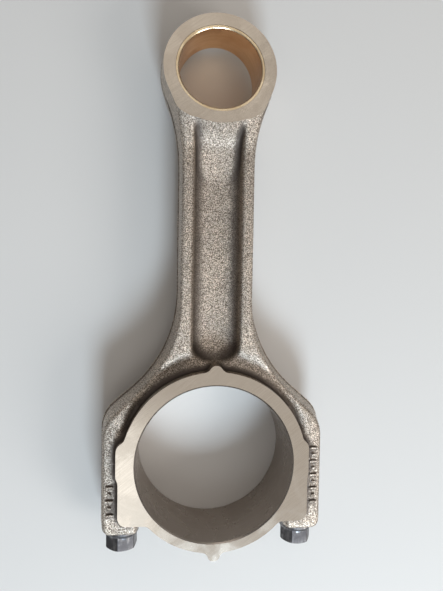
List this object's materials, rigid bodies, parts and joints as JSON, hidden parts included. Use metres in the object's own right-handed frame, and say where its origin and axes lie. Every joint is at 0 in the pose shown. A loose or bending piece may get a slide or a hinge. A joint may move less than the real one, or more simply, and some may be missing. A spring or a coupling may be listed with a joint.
{
  "type": "connecting rod",
  "caption": "Forged I-section connecting rod with a fracture-split bolted bearing cap, a bushed keystone small end and two flanged cap screws.",
  "frame": {"origin": "centre of the rod's bounding box on the plane of its lower thrust face, where it lies flat", "axes": "+Z along both bores, out of the upper thrust face; +Y along the shank, from the big end to the small end; +X across"},
  "size_m": [0.1062, 0.2546, 0.036],
  "materials": {
    "forged_steel": "shot-blasted forging skin with ground thrust faces and a honed bore",
    "bush_bronze": "burnished bronze",
    "screw_steel": "dark phosphated and oiled"
  },
  "bodies": {
    "rod": {"rod_body": "forged_steel", "small_end_bush": "bush_bronze"},
    "cap": {"bearing_cap": "forged_steel"},
    "screw_left": {"cap_screw_left": "screw_steel"},
    "screw_right": {"cap_screw_right": "screw_steel"}
  },
  "joints": [
    {"name": "cap_removal", "type": "slide", "parent": "rod", "child": "cap", "axis": [0, -1, 0], "range_m": [0, 0.06]},
    {"name": "screw_left_removal", "type": "slide", "parent": "cap", "child": "screw_left", "axis": [0, -1, 0], "range_m": [0, 0.056]},
    {"name": "screw_right_removal", "type": "slide", "parent": "cap", "child": "screw_right", "axis": [0, -1, 0], "range_m": [0, 0.056]}
  ]
}
